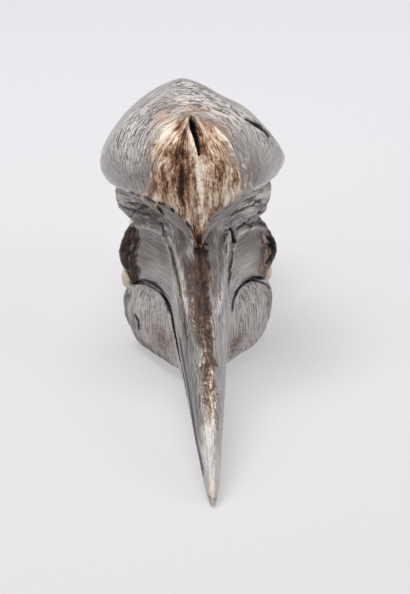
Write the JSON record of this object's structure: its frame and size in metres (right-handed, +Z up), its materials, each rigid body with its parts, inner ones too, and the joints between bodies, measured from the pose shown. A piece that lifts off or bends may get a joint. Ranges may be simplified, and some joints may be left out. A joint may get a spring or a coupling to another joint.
{
  "type": "hornbill skull",
  "caption": "Hornbill skull with a long down-curved bill, a swollen casque above it and flared plates beside the mouth, resting on its lower jaw.",
  "frame": {"origin": "on the floor, under the middle of the skull's box", "axes": "+Z up, -Y out along the bill, +X towards the bird's left side"},
  "size_m": [0.0625, 0.25, 0.1015],
  "materials": {
    "casque_horn": "satin worn horn",
    "bill_horn": "satin worn horn",
    "bone": "dry bone"
  },
  "bodies": {
    "root": {"upper_bill": "bill_horn", "casque": "casque_horn", "lower_bill": "bill_horn", "lower_plate_left": "bill_horn", "lower_plate_right": "bill_horn", "braincase": "bone", "frontal": "bone", "septum": "bone", "ramus_left": "bone", "ramus_right": "bone", "quadrate_left": "bone", "quadrate_right": "bone", "jugal_left": "bone", "jugal_right": "bone", "palatine_left": "bone", "palatine_right": "bone", "pterygoid_left": "bone", "pterygoid_right": "bone"}
  },
  "joints": []
}
